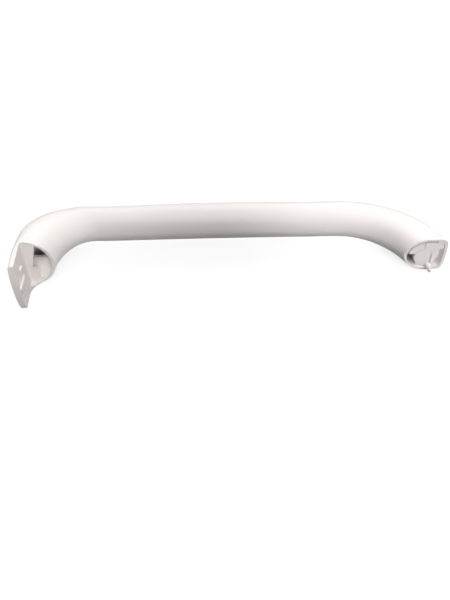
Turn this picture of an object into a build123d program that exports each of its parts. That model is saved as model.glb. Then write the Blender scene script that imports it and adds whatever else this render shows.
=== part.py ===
from build123d import *
import os
from math import cos, radians, sin

# Refrigerator door handle: one hollow bow moulding in white plastic.
# Millimetres. The door's face is the plane y = 0 while the handle is built.
# X runs along the handle, Y away from the door, and Z across the grip.
# The finished part lies on its side and is moved to its own frame at the end.

# Overall sizes
end_left = 176.8          # outer face of the hooked end, from the middle
end_right = 178.5         # outer edge of the plain end's mouth, from the middle
stand_off = 55.7          # outer face of the grip above the door, at its ends
grip_swell = 1.8          # how much further its middle stands off
finger_room = 30.6        # door to the inside of the grip

# Width across Z, as half widths
grip_half_width = 16.0
tongue_half_width = 25.6
foot_half_width = 24.9
mouth_half_width = 17.7

# Bends, as radii of the outer and inner profiles in the XY plane
left_outer_radius = 50.5
left_inner_radius = 33.5
left_foot_depth = 29.4    # hooked end, outer face to inner lip, along X
right_outer_radius = 93.5
right_inner_radius = 60.5
right_mouth_depth = 34.8  # plain end, outer edge to inner lip, along X
neck_angle = 80.0         # part of the left bend over which the width shrinks

# Shape of the section: how far the widest point lies behind the outer face,
# and how full the outer corners are (0.55 is an ellipse, 1 is nearly square)
grip_crown = 9.0
tongue_crown = 2.5
foot_crown = 8.5
mouth_crown = 14.0
grip_fullness = 0.73
tongue_fullness = 0.97
foot_fullness = 0.88
mouth_fullness = 1.0

# Walls
wall = 2.8
mouth_wall = 2.2          # at the plain end
tongue_thickness = 5.5    # also the end wall of the foot
foot_outer_skin = 4.4     # hollow of the foot before its end wall is cut flat
least_crown = 4.1         # that the hollow keeps in front of its widest line

# Tongue that laps over the door's edge
tongue_reach = 30.6       # past the door's face, at its middle
tongue_bow = 3.0          # how much its end is rounded out
tongue_corner = 3.0
tongue_margin = 0.6       # from the tongue's side to the zone that trims it
tongue_flare = 12.0       # on each side of the rim, where tongue turns into foot
root_fillet = 13.0        # where the tongue's lower edge meets the rim
upper_root_fillet = 3.0   # where its upper edge does

# Ribs on the inside of the tongue
rib_start = 13.0          # past the door's face
long_rib_thickness = 1.8
long_rib_height = 2.2
long_rib_tip_height = 1.2
long_rib_end_margin = 1.2
short_rib_length = 5.2
short_rib_height = 1.6
short_rib_thickness = 1.8
short_rib_pitch = 10.7    # from the middle rib

# Screw holes in the tongue
screw_hole_radius = 2.4
screw_hole_offset = 8.4   # from the middle plane
screw_hole_edge = 5.4     # from the tongue's end

# Plate across the outer side of the hooked end's mouth, flush with the rim
plate_thickness = 3.0
plate_upper_width = 12.3  # inwards from the end wall, at the tongue's upper edge
plate_waist = 4.3         # and just above the step
plate_lower_width = 8.7   # and below it
plate_step = -6.6         # height of the step
plate_corner = 1.5

# Sloping web from the lower lip of that mouth up into the hollow
ramp_recess = 1.0         # behind the rim, at its foot
ramp_foot = -18.0         # height at which it starts to slope
ramp_depth = 10.0         # behind the door's face, at its crest
ramp_crest = -3.6         # height of its crest
ramp_thickness = 3.0      # along Y

# Screw boss and blocks inside the plain end
boss_radius = 9.6
boss_inset = 16.7         # from the mouth's outer edge to its middle
boss_drop = 3.5           # below the middle plane
boss_recess = 0.8         # behind the rim
boss_edge = 1.0
saddle_half_width = 6.5   # web that carries the boss on the lower wall
saddle_recess = 1.6
block_recess = 1.2
block_gap = 2.5           # to the wall around it
block_corner = 8.5        # from the mouth's outer edge, where the gap ends
inner_block_bottom = 0.1  # block on the grip's side of the groove
outer_block_bottom = 5.7
pocket_recess = 4.5       # flat bottom of the pocket under the outer block
pocket_bottom = -8.0
groove_inset = 18.8       # from the mouth's outer edge to its middle
groove_width = 1.2
groove_depth = 1.4
inner_run = 34.0          # how far the inner pieces run before they meet the bend

# Ridge beside the boss, and the locating peg by its lower end
ridge_width = 2.8
ridge_inset = 10.9        # from the mouth's outer edge to its middle
ridge_rise = 0.6          # past the rim
ridge_top = 1.8
ridge_edge = 0.9
peg_radius = 1.5
peg_root_radius = 3.2
peg_root_length = 4.4     # past the rim
peg_length = 7.0          # past the rim
peg_tip = 0.4
peg_inset = 12.3          # from the mouth's outer edge to its middle
peg_drop = 13.0           # below the middle plane

# Spacing of the sections that the bow is drawn through
section_step = 14.0
bend_steps = 8

# Handle length of a quarter curve that makes an ellipse
ELLIPSE = 0.5523

# Derived places
left_outer_centre = (-end_left + left_outer_radius, stand_off - left_outer_radius)
left_inner_lip = -end_left + left_foot_depth
left_inner_centre = (left_inner_lip + left_inner_radius, finger_room - left_inner_radius)
right_outer_drop = right_outer_radius - stand_off
right_outer_run = (right_outer_radius ** 2 - right_outer_drop ** 2) ** 0.5
right_outer_centre = (end_right - right_outer_run, -right_outer_drop)
right_inner_drop = right_inner_radius - finger_room
right_inner_run = (right_inner_radius ** 2 - right_inner_drop ** 2) ** 0.5
right_inner_centre = (end_right - right_mouth_depth - right_inner_run, -right_inner_drop)
tongue_face = -end_left + tongue_thickness
boss_x = end_right - boss_inset
groove_x = end_right - groove_inset
ridge_x = end_right - ridge_inset
peg_x = end_right - peg_inset
tongue_tip = tongue_reach + section_step
far = 2 * (end_left + end_right)


def mix(a, b, t):
    """Value a fraction t of the way from a to b, eased at both ends."""
    eased = t * t * (3 - 2 * t)
    return a + (b - a) * eased


def on_arc(centre, radius, angle):
    """Point on an arc in the XY plane, with the angle in degrees from +X."""
    x = centre[0] + radius * cos(radians(angle))
    y = centre[1] + radius * sin(radians(angle))
    return (x, y)


def station(outer, inner, half_width, crown, fullness, side_skin, outer_skin):
    """One place along the handle, as a plain record of its section."""
    return {
        "outer": outer,
        "inner": inner,
        "half_width": half_width,
        "crown": crown,
        "fullness": fullness,
        "side_skin": side_skin,
        "outer_skin": outer_skin,
    }


def spread(first, last, count):
    """Evenly spaced values from first to last."""
    return [first + (last - first) * i / (count - 1) for i in range(count)]


def foot_stations():
    """Tongue and foot of the hooked end, from past its tip to the rim."""
    rows = []
    for y in spread(-tongue_tip, -tongue_flare / 4, 5):
        t = min(1.0, max(0.0, (y + tongue_flare) / (2 * tongue_flare)))
        rows.append(station(
            (-end_left, y), (left_inner_lip, y),
            mix(tongue_half_width, foot_half_width, t),
            mix(tongue_crown, foot_crown, t),
            mix(tongue_fullness, foot_fullness, t),
            wall, foot_outer_skin,
        ))
    return rows


def left_bend_stations():
    """Bend from the foot up to the grip, where the width and depth shrink."""
    rows = []
    for angle in spread(174.0, 98.0, bend_steps):
        t = (180.0 - angle) / 90.0
        rows.append(station(
            on_arc(left_outer_centre, left_outer_radius, angle),
            on_arc(left_inner_centre, left_inner_radius, angle),
            mix(foot_half_width, grip_half_width, min(1.0, (180.0 - angle) / neck_angle)),
            mix(foot_crown, grip_crown, t),
            mix(foot_fullness, grip_fullness, t),
            wall, mix(foot_outer_skin, wall, t),
        ))
    return rows


def grip_stations():
    """Grip, whose outer face swells gently towards its middle."""
    first = left_inner_centre[0] + section_step / 3
    last = right_outer_centre[0] - section_step / 4
    rows = []
    for x in spread(first, last, round((last - first) / section_step)):
        u = (2 * x - first - last) / (last - first)
        rows.append(station(
            (x, stand_off + grip_swell * (1 - u * u) ** 2), (x, finger_room),
            grip_half_width, grip_crown, grip_fullness, wall, wall,
        ))
    return rows


def right_bend_stations():
    """Long bend down to the plain end, run past the door's face."""
    rows = []
    for angle in spread(83.0, 20.0, bend_steps):
        t = min(1.0, (90.0 - angle) / 66.0)
        skin = mix(wall, mouth_wall, t)
        rows.append(station(
            on_arc(right_outer_centre, right_outer_radius, angle),
            on_arc(right_inner_centre, right_inner_radius, angle),
            mix(grip_half_width, mouth_half_width, t),
            mix(grip_crown, mouth_crown, t),
            mix(grip_fullness, mouth_fullness, t),
            skin, skin,
        ))
    return rows


def outline(half_width, crown, belly, fullness):
    """Four smooth quarter curves of a closed D outline.

    The first coordinate runs from the widest line, minus to the outer face
    and plus to the inside of the grip. The second one is Z.
    """
    curves = []
    for reach, side, pull in (
        (-crown, 1, fullness),
        (belly, 1, ELLIPSE),
        (belly, -1, ELLIPSE),
        (-crown, -1, fullness),
    ):
        edge = side * half_width
        quarter = [(reach, 0), (reach, pull * edge), (pull * reach, edge), (0, edge)]
        if (reach > 0) == (side > 0):
            quarter.reverse()
        curves.append(quarter)
    return curves


def section(row, hollow, gap):
    """Face of one station: the outside, or the hollow set in by a further gap."""
    ox, oy = row["outer"]
    ix, iy = row["inner"]
    depth = ((ix - ox) ** 2 + (iy - oy) ** 2) ** 0.5
    direction = ((ix - ox) / depth, (iy - oy) / depth)
    side_skin = row["side_skin"] + gap if hollow else 0.0
    outer_skin = row["outer_skin"] + gap if hollow else 0.0
    crown = max(row["crown"], outer_skin + least_crown) if hollow else row["crown"]
    plane = Plane(
        origin=(ox + direction[0] * crown, oy + direction[1] * crown, 0),
        x_dir=(direction[0], direction[1], 0),
        z_dir=(direction[1], -direction[0], 0),
    )
    quarters = outline(
        row["half_width"] - side_skin,
        crown - outer_skin,
        depth - crown - side_skin,
        row["fullness"],
    )
    return make_face([plane * Bezier(*quarter) for quarter in quarters])


def bow(hollow, gap=0.0):
    """Solid along all the stations: the outside, or the hollow set in by a gap."""
    rows = foot_stations() + left_bend_stations() + grip_stations() + right_bend_stations()
    return loft([section(row, hollow, gap) for row in rows])


def slab(x_low, x_high, y_low, y_high, z_low, z_high):
    """Box between two corners."""
    size = (x_high - x_low, y_high - y_low, z_high - z_low)
    middle = ((x_low + x_high) / 2, (y_low + y_high) / 2, (z_low + z_high) / 2)
    return Pos(*middle) * Box(*size)


def upright(x, z, radius, y_low, y_high):
    """Round bar along Y."""
    length = y_high - y_low
    return Pos(x, (y_low + y_high) / 2, z) * Rot(90, 0, 0) * Cylinder(radius, length)


def front_edges(solid):
    """Edges around the face of a piece that looks towards the door."""
    return solid.faces().sort_by(Axis.Y)[0].edges()


def tongue_zone():
    """Space that the tongue keeps past the door, with its rounded end."""
    half = tongue_half_width + tongue_margin
    tip = tongue_reach - tongue_bow
    sides = Polyline((-tip, half), (1, half), (1, -half), (-tip, -half))
    end = ThreePointArc((-tip, half), (-tongue_reach, 0), (-tip, -half))
    sketch = make_face([sides, end])
    corners = sketch.vertices().filter_by(lambda v: v.X < 0)
    profile = fillet(corners, tongue_corner)
    plate = extrude(Plane.YZ * profile, -far)
    return Pos(tongue_face, 0, 0) * plate


def root_zone():
    """Rounded corners between the tongue's inner face and the rim, below and above."""
    corners = []
    for r, z_low, z_high in ((root_fillet, -far, 0), (upper_root_fillet, 0, far)):
        corner = slab(tongue_face - 1, tongue_face + r, -r, 1, z_low, z_high)
        corners.append(corner - Pos(tongue_face + r, -r, 0) * Cylinder(r, 2 * far))
    return corners[0] + corners[1]


def rib(z, thickness, start, end, height_start, height_end):
    """Rib on the tongue's inner face, along Y, with a sloping crest."""
    profile = make_face(Polyline(
        (tongue_face - 1, -start), (tongue_face + height_start, -start),
        (tongue_face + height_end, -end), (tongue_face - 1, -end), close=True,
    ))
    return Pos(0, 0, z - thickness / 2) * extrude(profile, thickness)


def tongue_ribs():
    """Long middle rib and the short ones beside it."""
    pieces = [rib(
        0, long_rib_thickness, rib_start, tongue_reach - long_rib_end_margin,
        long_rib_height, long_rib_tip_height,
    )]
    for side in (1, -1):
        pieces.append(rib(
            side * short_rib_pitch, short_rib_thickness,
            rib_start, rib_start + short_rib_length,
            short_rib_height, short_rib_height,
        ))
    return pieces


def screw_holes():
    """Holes through the tongue, along X, one each side of the long rib."""
    bar = Rot(0, 90, 0) * Cylinder(screw_hole_radius, 4 * tongue_thickness)
    return [
        Pos(tongue_face, screw_hole_edge - tongue_reach, side * screw_hole_offset) * bar
        for side in (1, -1)
    ]


def foot_plate():
    """Flat plate across the outer side of the hooked end's mouth, with a step."""
    step_x = tongue_face + plate_lower_width
    profile = make_face(Polyline(
        (tongue_face - 1, tongue_half_width),
        (tongue_face + plate_upper_width, tongue_half_width),
        (tongue_face + plate_waist, plate_step), (step_x, plate_step),
        (step_x, -tongue_half_width), (tongue_face - 1, -tongue_half_width), close=True,
    ))
    corner = profile.vertices().filter_by(lambda v: abs(v.X - step_x) < 0.01).sort_by(Axis.Y)[-1]
    return extrude(Plane.XZ * fillet(corner, plate_corner), -plate_thickness)


def foot_ramp():
    """Sloping web that closes the lower part of the hooked end's mouth."""
    profile = make_face(Polyline(
        (ramp_recess, -far), (ramp_recess, ramp_foot), (ramp_depth, ramp_crest),
        (ramp_depth + ramp_thickness, ramp_crest),
        (ramp_recess + ramp_thickness, ramp_foot),
        (ramp_recess + ramp_thickness, -far), close=True,
    ))
    return extrude(Plane.YZ * profile, -far)


def plain_end_pieces(core):
    """Boss, its saddle, the blocks around it, the pocket's bottom and the ridge."""
    floor = -mouth_half_width + mouth_wall / 2
    boss = upright(boss_x, -boss_drop, boss_radius, boss_recess, inner_run)
    boss = fillet(front_edges(boss), boss_edge)
    saddle = slab(
        boss_x - saddle_half_width, boss_x + saddle_half_width,
        saddle_recess, inner_run, floor, -boss_drop,
    )
    inner_block = core & slab(
        0, boss_x, block_recess, inner_run, inner_block_bottom, far,
    )
    outer_block = core & slab(
        groove_x, far, block_recess, inner_run, outer_block_bottom, far,
    )
    corner = slab(
        end_right - block_corner, far, block_recess, inner_run, outer_block_bottom, far,
    )
    pocket = slab(
        boss_x, far, pocket_recess, inner_run, pocket_bottom, outer_block_bottom,
    )
    groove = slab(
        groove_x - groove_width / 2, groove_x + groove_width / 2,
        0, block_recess + groove_depth, boss_radius - boss_drop, far,
    )
    ridge = slab(
        ridge_x - ridge_width / 2, ridge_x + ridge_width / 2,
        -ridge_rise, inner_run, floor, ridge_top,
    )
    ridge = fillet(front_edges(ridge), ridge_edge)
    blocks = [inner_block - groove, outer_block - groove]
    return blocks + [boss, saddle, corner, pocket, ridge]


def locating_peg():
    """Round peg that stands past the rim, on a long tapered root."""
    peg = upright(peg_x, -peg_drop, peg_radius, -peg_length, wall)
    height = peg_root_length + boss_recess
    root = Cone(peg_root_radius, peg_radius, height)
    place = Pos(peg_x, boss_recess - height / 2, -peg_drop) * Rot(90, 0, 0)
    return chamfer(front_edges(peg), peg_tip) + place * root


def build_handle():
    """The whole moulding, against the door's plane."""
    outside = bow(False)
    hollow = bow(True) & slab(tongue_face, far, -far, far, -far, far)
    core = bow(True, block_gap)
    above_door = slab(-far, far, 0, far, -far, far)
    shell = (outside & (above_door + tongue_zone() + root_zone())) - hollow
    inside = outside & above_door
    body = shell + tongue_ribs() + (inside & foot_plate()) + (inside & foot_ramp())
    for piece in plain_end_pieces(core):
        body += outside & piece
    body += locating_peg()
    for hole in screw_holes():
        body -= hole
    return body


# Own frame: middle of the bounding box, standing on the lowest point
handle = Pos(
    (end_left - end_right) / 2,
    (tongue_reach - stand_off - grip_swell) / 2,
    tongue_half_width,
) * build_handle()

os.makedirs("parts", exist_ok=True)
export_step(handle, "parts/handle.step")
box = handle.bounding_box()
print("volume", round(handle.volume), "solids", len(handle.solids()), "valid", handle.is_valid)
print("box", box.min, box.max)
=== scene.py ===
"""Refrigerator door handle in glossy white moulded plastic.

It lies on its side in a plain white studio.
"""

from __future__ import annotations

import logging
from dataclasses import dataclass, field
from enum import Enum
from math import radians

import bpy
from mathutils import Matrix, Vector


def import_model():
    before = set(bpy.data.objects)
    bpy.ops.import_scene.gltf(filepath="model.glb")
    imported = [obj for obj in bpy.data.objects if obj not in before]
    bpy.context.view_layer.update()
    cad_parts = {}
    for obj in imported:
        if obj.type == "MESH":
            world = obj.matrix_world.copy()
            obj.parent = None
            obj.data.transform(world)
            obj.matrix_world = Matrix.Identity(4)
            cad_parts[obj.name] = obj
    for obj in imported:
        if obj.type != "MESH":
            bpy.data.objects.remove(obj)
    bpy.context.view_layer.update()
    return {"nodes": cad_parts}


LOG = logging.getLogger("door_handle")
OPAQUE = 1.0
NOISE_MIDDLE = 0.5
MIX_FACTOR, MIX_FIRST, MIX_SECOND, MIX_RESULT = 0, 6, 7, 2

Colour = tuple[float, float, float]
Place = tuple[float, float, float]


class Ray(Enum):
    """The kinds of ray that the white surroundings answer to."""

    CAMERA = "Is Camera Ray"
    GLOSSY = "Is Glossy Ray"
    TRANSMISSION = "Is Transmission Ray"


class Value:
    """A number that comes out of a node, with maths written as Python expressions."""

    def __init__(self, bench: "NodeBench", socket: bpy.types.NodeSocket) -> None:
        """Wraps a socket.

        Args:
            bench: The node tree's bench, which adds the Math nodes.
            socket: The output socket.
        """
        self.bench = bench
        self.socket = socket

    def _maths(self, operation: str, first: "Value | float", second: "Value | float") -> "Value":
        """Adds a Math node.

        Args:
            operation: Blender's name of the operation.
            first: The first number.
            second: The second number.

        Returns:
            The node's result.
        """
        return self.bench.node("ShaderNodeMath", {"operation": operation}, {0: first, 1: second})

    def __add__(self, other: "Value | float") -> "Value":
        """Sum."""
        return self._maths("ADD", self, other)

    __radd__ = __add__

    def __mul__(self, other: "Value | float") -> "Value":
        """Product."""
        return self._maths("MULTIPLY", self, other)

    __rmul__ = __mul__

    def __sub__(self, other: "Value | float") -> "Value":
        """Difference."""
        return self._maths("SUBTRACT", self, other)

    def __rsub__(self, other: "Value | float") -> "Value":
        """Difference the other way round."""
        return self._maths("SUBTRACT", other, self)

    def largest(self, other: "Value | float") -> "Value":
        """The larger of two numbers."""
        return self._maths("MAXIMUM", self, other)


class NodeBench:
    """Adds nodes to one node tree."""

    def __init__(self, tree: bpy.types.NodeTree) -> None:
        """Starts with an empty tree.

        Args:
            tree: The node tree to fill.
        """
        self.tree = tree
        tree.nodes.clear()

    def node(
        self,
        kind: str,
        settings: dict[str, object] | None = None,
        inputs: dict[object, object] | None = None,
        output: int | str = 0,
    ) -> Value:
        """Adds one node.

        Args:
            kind: The node's type.
            settings: Properties that are set first.
            inputs: Values or links of its sockets, by name or number.
            output: The output socket that is handed back.

        Returns:
            The chosen output.
        """
        made = self.tree.nodes.new(kind)
        for name, setting in (settings or {}).items():
            setattr(made, name, setting)
        for key, given in (inputs or {}).items():
            if isinstance(given, Value):
                self.tree.links.new(given.socket, made.inputs[key])
            else:
                made.inputs[key].default_value = given
        return Value(self, made.outputs[output]) if len(made.outputs) else Value(self, None)

    def ramp(self, amount: Value, low: float, high: float) -> Value:
        """Smooth step of an amount from 0 at low to 1 at high."""
        return self.node(
            "ShaderNodeMapRange",
            {"interpolation_type": "SMOOTHSTEP"},
            {"Value": amount, "From Min": low, "From Max": high},
        )

    def mix_colour(self, amount: Value, first: Colour, second: Colour) -> Value:
        """Mixes two colours by an amount."""
        return self.node(
            "ShaderNodeMix",
            {"data_type": "RGBA"},
            {MIX_FACTOR: amount, MIX_FIRST: (*first, OPAQUE), MIX_SECOND: (*second, OPAQUE)},
            output=MIX_RESULT,
        )

    def diffuse(self, colour: Colour) -> Value:
        """A matt surface of one colour."""
        return self.node("ShaderNodeBsdfDiffuse", inputs={"Color": (*colour, OPAQUE)})

    def white_rays(self) -> Value:
        """1 for the rays that see a white background, and 0 for the rest."""
        seen = [self.node("ShaderNodeLightPath", output=ray.value) for ray in Ray]
        return seen[0].largest(seen[1]).largest(seen[2])


@dataclass(frozen=True)
class Unevenness:
    """A noise over the surface, with how much it changes the shine and the height."""

    scale: float
    detail: float
    roughness: float
    shine_spread: float
    height: float

    def noise(self, bench: NodeBench, place: Value) -> Value:
        """The noise at a place, from 0 to 1."""
        return bench.node(
            "ShaderNodeTexNoise",
            inputs={
                "Vector": place,
                "Scale": self.scale,
                "Detail": self.detail,
                "Roughness": self.roughness,
            },
        )

    def shine(self, noise: Value) -> Value:
        """What the noise adds to the roughness of the finish."""
        return (noise - NOISE_MIDDLE) * self.shine_spread

    def bump(self, bench: NodeBench, noise: Value, below: Value | None = None) -> Value:
        """The noise as a bump, over another bump or straight on the surface."""
        inputs = {"Height": noise, "Distance": self.height, "Strength": 1.0}
        if below is not None:
            inputs["Normal"] = below
        return bench.node("ShaderNodeBump", inputs=inputs)


@dataclass(frozen=True)
class MouldedPlastic:
    """Glossy white plastic with the faint unevenness of a moulding."""

    name: str = "moulded_white"
    colour: Colour = (0.85, 0.803, 0.79)
    aged: Colour = (0.80, 0.75, 0.71)
    ageing_from: float = 0.45
    ageing_to: float = 0.80
    ageing_share: float = 0.35
    roughness: float = 0.42
    refraction: float = 1.49
    cloud: Unevenness = Unevenness(26.0, 3.0, 0.55, shine_spread=0.10, height=0.00004)
    speck: Unevenness = Unevenness(900.0, 2.0, 0.6, shine_spread=0.04, height=0.000006)

    def material(self) -> bpy.types.Material:
        """Makes the finish.

        Returns:
            The material.
        """
        made = bpy.data.materials.new(self.name)
        made.use_nodes = True
        bench = NodeBench(made.node_tree)
        place = bench.node("ShaderNodeTexCoord", output="Object")
        cloud = self.cloud.noise(bench, place)
        speck = self.speck.noise(bench, place)
        ageing = bench.ramp(cloud, self.ageing_from, self.ageing_to) * self.ageing_share
        ripple = self.cloud.bump(bench, cloud)
        plastic = bench.node(
            "ShaderNodeBsdfPrincipled",
            inputs={
                "Base Color": bench.mix_colour(ageing, self.colour, self.aged),
                "Roughness": self.roughness + self.cloud.shine(cloud) + self.speck.shine(speck),
                "IOR": self.refraction,
                "Normal": self.speck.bump(bench, speck, below=ripple),
            },
        )
        bench.node("ShaderNodeOutputMaterial", inputs={"Surface": plastic})
        return made


@dataclass
class Handle:
    """The hollow bow handle, which is one moulding."""

    node: str = "handle"
    finish: MouldedPlastic = field(default_factory=MouldedPlastic)

    def dress(self, nodes: dict[str, bpy.types.Object]) -> bpy.types.Object:
        """Gives the moulding its plastic.

        Args:
            nodes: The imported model's objects by name.

        Returns:
            The handle's object.
        """
        moulding = nodes[self.node]
        moulding.data.materials.clear()
        moulding.data.materials.append(self.finish.material())
        return moulding


@dataclass(frozen=True)
class SoftLamp:
    """A rectangular studio lamp that looks at the object."""

    name: str
    place: Place
    width: float
    length: float
    power: float
    aim: Place = (0.0, 0.0, 0.02)
    spread: float = 180.0

    def light(self) -> bpy.types.Object:
        """Hangs the lamp.

        Returns:
            The lamp's object.
        """
        data = bpy.data.lights.new(self.name, "AREA")
        data.shape = "RECTANGLE"
        data.size = self.width
        data.size_y = self.length
        data.energy = self.power
        data.spread = radians(self.spread)
        lamp = bpy.data.objects.new(self.name, data)
        lamp.location = self.place
        look = Vector(self.aim) - Vector(self.place)
        lamp.rotation_euler = look.to_track_quat("-Z", "Y").to_euler()
        bpy.context.scene.collection.objects.link(lamp)
        return lamp


@dataclass(frozen=True)
class Viewpoint:
    """The camera of the photograph, in metres and degrees."""

    place: Place = (-0.00185, -0.44125, 0.482)
    pitch: float = 49.97
    turn: float = 0.69
    roll: float = -1.73
    lens: float = 45.0
    near: float = 0.01

    def camera(self) -> bpy.types.Object:
        """Sets up the camera.

        Returns:
            The camera's object.
        """
        data = bpy.data.cameras.new("camera")
        data.lens = self.lens
        data.clip_start = self.near
        made = bpy.data.objects.new("camera", data)
        turned = (
            Matrix.Rotation(radians(self.turn), 4, "Z")
            @ Matrix.Rotation(radians(90.0 - self.pitch), 4, "X")
            @ Matrix.Rotation(radians(self.roll), 4, "Z")
        )
        made.matrix_world = Matrix.Translation(self.place) @ turned
        bpy.context.scene.collection.objects.link(made)
        bpy.context.scene.camera = made
        return made


@dataclass
class Studio:
    """White surroundings: floor, dome and lamps. Each spot and the side box lights one end."""

    floor_half: float = 6.0
    floor_glow: float = 0.80
    floor_colour: Colour = (0.30, 0.30, 0.30)
    floor_bounce: Colour = (0.07, 0.065, 0.06)
    dome_colour: Colour = (0.98, 0.99, 1.0)
    dome_level: float = 0.02
    lamps: tuple[SoftLamp, ...] = (
        SoftLamp("back_box", (-0.02, 0.72, 0.87), width=1.6, length=0.65, power=11.2),
        SoftLamp("key_box", (-0.06, -0.52, 1.04), width=0.8, length=0.40, power=6.0),
        SoftLamp(
            "side_box",
            (0.60, -0.35, 0.30),
            width=0.3,
            length=0.3,
            power=0.08,
            aim=(-0.19, -0.05, 0.02),
            spread=26.0,
        ),
        SoftLamp(
            "left_spot",
            (0.06, -0.52, 0.26),
            width=0.22,
            length=0.22,
            power=0.046,
            aim=(-0.168, -0.03, 0.025),
            spread=22.0,
        ),
        SoftLamp(
            "right_spot",
            (0.34, -0.45, 0.30),
            width=0.22,
            length=0.22,
            power=0.09,
            aim=(0.172, -0.02, 0.01),
            spread=16.0,
        ),
    )

    def build(self) -> None:
        """Makes the floor, the dome and the lamps."""
        self.floor()
        self.dome()
        for lamp in self.lamps:
            lamp.light()
            LOG.info("lamp %s", lamp.name)

    def floor(self) -> bpy.types.Object:
        """Lays the floor that the handle lies on.

        Returns:
            The floor's object.
        """
        bpy.ops.mesh.primitive_plane_add(size=2 * self.floor_half, location=(0.0, 0.0, 0.0))
        plane = bpy.context.active_object
        plane.name = "floor"
        plane.data.materials.append(self.floor_material())
        return plane

    def floor_material(self) -> bpy.types.Material:
        """White to the camera, with the handle's soft shadow, and plain grey to the light.

        Returns:
            The material.
        """
        made = bpy.data.materials.new("floor")
        made.use_nodes = True
        bench = NodeBench(made.node_tree)
        seen = bench.white_rays()
        bounce = bench.diffuse(self.floor_bounce)
        shade = bench.diffuse(self.floor_colour)
        glow = bench.node("ShaderNodeEmission", inputs={"Strength": self.floor_glow})
        white = bench.node("ShaderNodeAddShader", inputs={0: shade, 1: glow})
        both = bench.node("ShaderNodeMixShader", inputs={0: seen, 1: bounce, 2: white})
        bench.node("ShaderNodeOutputMaterial", inputs={"Surface": both})
        return made

    def dome(self) -> None:
        """Pale even light from all round, white to the camera."""
        world = bpy.data.worlds.new("dome")
        bpy.context.scene.world = world
        world.use_nodes = True
        bench = NodeBench(world.node_tree)
        seen = bench.node("ShaderNodeLightPath", output=Ray.CAMERA.value)
        strength = seen * (1.0 - self.dome_level) + self.dome_level
        back = bench.node(
            "ShaderNodeBackground",
            inputs={"Color": (*self.dome_colour, OPAQUE), "Strength": strength},
        )
        bench.node("ShaderNodeOutputWorld", inputs={"Surface": back})


def main() -> None:
    """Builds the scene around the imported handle."""
    logging.basicConfig(level=logging.INFO, format="%(name)s: %(message)s")
    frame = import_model()
    Viewpoint().camera()
    bpy.context.scene.view_settings.view_transform = "Standard"
    moulding = Handle().dress(frame["nodes"])
    LOG.info("piece %s, %d faces", moulding.name, len(moulding.data.polygons))
    Studio().build()


if __name__ == "__main__":
    main()
